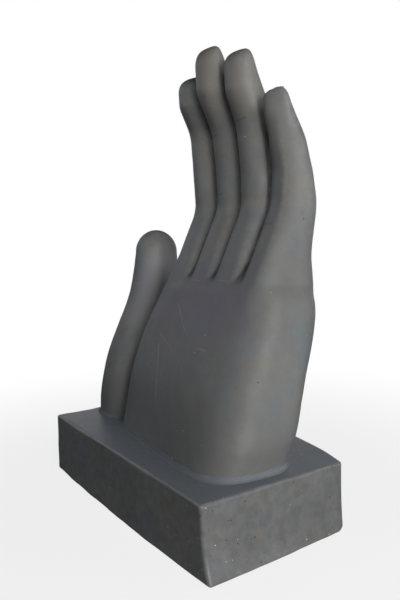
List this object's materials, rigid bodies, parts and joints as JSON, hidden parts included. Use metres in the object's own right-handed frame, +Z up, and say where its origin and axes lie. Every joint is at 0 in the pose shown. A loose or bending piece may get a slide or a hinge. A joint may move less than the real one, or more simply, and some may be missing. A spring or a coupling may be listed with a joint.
{
  "type": "stone hand statue",
  "caption": "Upright open hand carved in dark honed stone, fingers closed side by side and gently curved, thumb standing apart, dowelled and bedded on a rectangular stone plinth.",
  "frame": {"origin": "middle of the plinth's underside", "axes": "+Z up to the fingertips; the palm faces -Y; the thumb is on the -X side and the little finger on the +X side"},
  "size_m": [0.403, 0.23, 0.596],
  "materials": {
    "honed_basalt": "honed",
    "dressed_basalt": "rubbed, with worn edges",
    "bedding_mortar": "matt",
    "stainless_steel": "plain drawn bar",
    "epoxy_resin": "poured"
  },
  "bodies": {
    "root": {"plinth": "dressed_basalt", "bedding_mortar": "bedding_mortar", "hand": "honed_basalt", "dowel_thumb_side": "stainless_steel", "resin_thumb_side": "epoxy_resin", "dowel_little_finger_side": "stainless_steel", "resin_little_finger_side": "epoxy_resin"}
  },
  "joints": []
}
